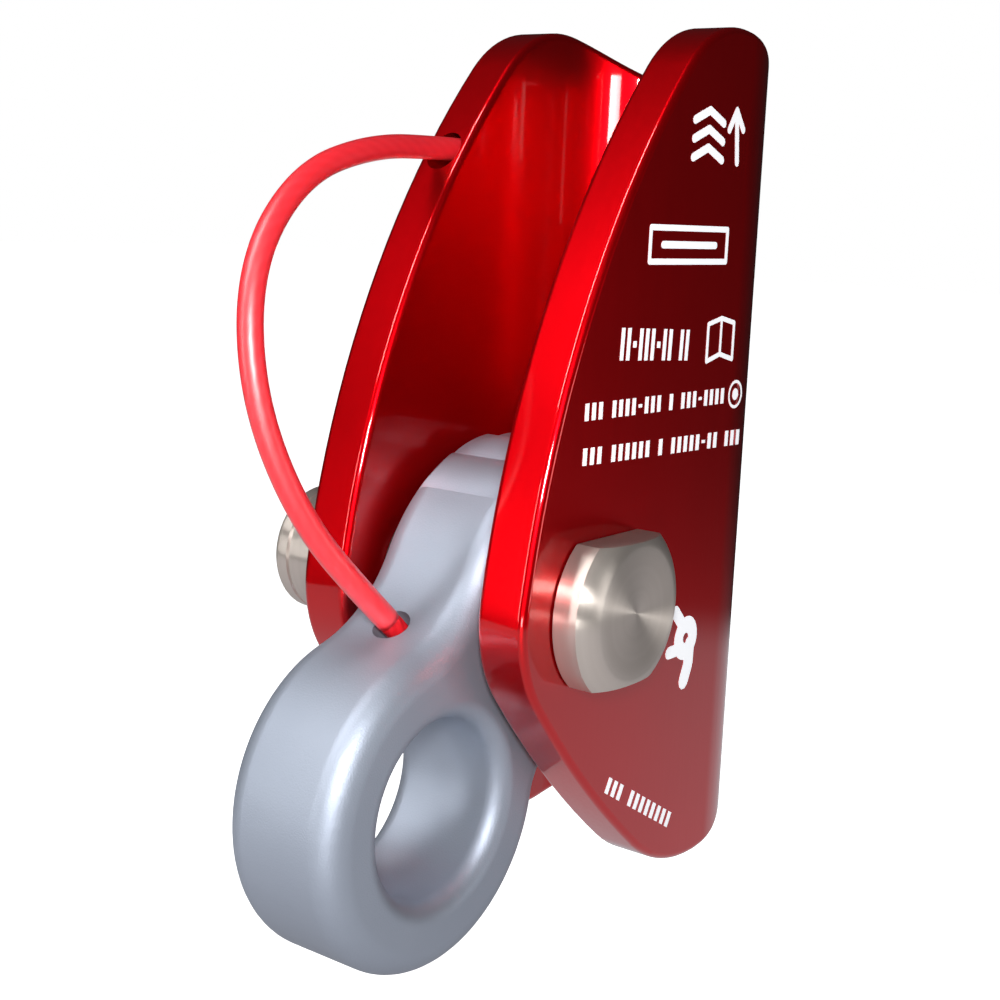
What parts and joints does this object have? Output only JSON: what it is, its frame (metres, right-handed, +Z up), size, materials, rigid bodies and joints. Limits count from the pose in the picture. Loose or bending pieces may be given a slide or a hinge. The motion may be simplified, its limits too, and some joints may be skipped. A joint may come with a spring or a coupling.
{
  "type": "rope grab",
  "caption": "Rope grab: a U-shaped channel for the rope, a toothed cam lever with a karabiner eye on a removable axle, and a short tether cable from channel to lever.",
  "frame": {"origin": "centre of the karabiner eye, on the middle plane of the channel", "axes": "+X from the eye towards the rope, +Y along the axle from its fixed head to its knob, +Z up along the rope"},
  "size_m": [0.074, 0.046, 0.1001],
  "materials": {
    "red_anodised": "glossy red anodised aluminium extrusion",
    "grey_anodised": "blasted, matte blue-grey anodised aluminium",
    "stainless": "turned stainless steel",
    "red_sleeve": "clear red plastic sleeve",
    "red_coating": "red plastic over a laid wire rope",
    "bronze": "plain sintered bronze",
    "washer_plastic": "black low-friction plastic",
    "spring_steel": "bright spring steel",
    "ferrule": "plain pressed aluminium"
  },
  "bodies": {
    "shell": {"shell": "red_anodised", "shell_ferrule": "ferrule", "tether_sleeve": "red_sleeve", "tether_core": "red_coating", "near_thrust_washer": "washer_plastic", "far_thrust_washer": "washer_plastic"},
    "cam": {"cam": "grey_anodised", "cam_bush": "bronze", "cam_ferrule": "ferrule"},
    "axle": {"axle": "stainless", "detent_balls": "spring_steel", "detent_spring": "spring_steel", "lock_spring": "spring_steel"},
    "knob": {"lock_knob": "stainless"}
  },
  "joints": [
    {"name": "cam_pivot", "type": "hinge", "parent": "shell", "child": "cam", "pos_m": [0.016, 0, 0.0205], "axis": [0, 1, 0], "range_deg": [-55, 80], "deforming": ["tether_sleeve", "tether_core"]},
    {"name": "axle_turn", "type": "hinge", "parent": "shell", "child": "axle", "pos_m": [0.016, 0, 0.0205], "axis": [0, 1, 0], "continuous": true},
    {"name": "knob_turn", "type": "hinge", "parent": "axle", "child": "knob", "pos_m": [0.016, 0.02, 0.0205], "axis": [0, 1, 0], "range_deg": [0, 90]}
  ]
}
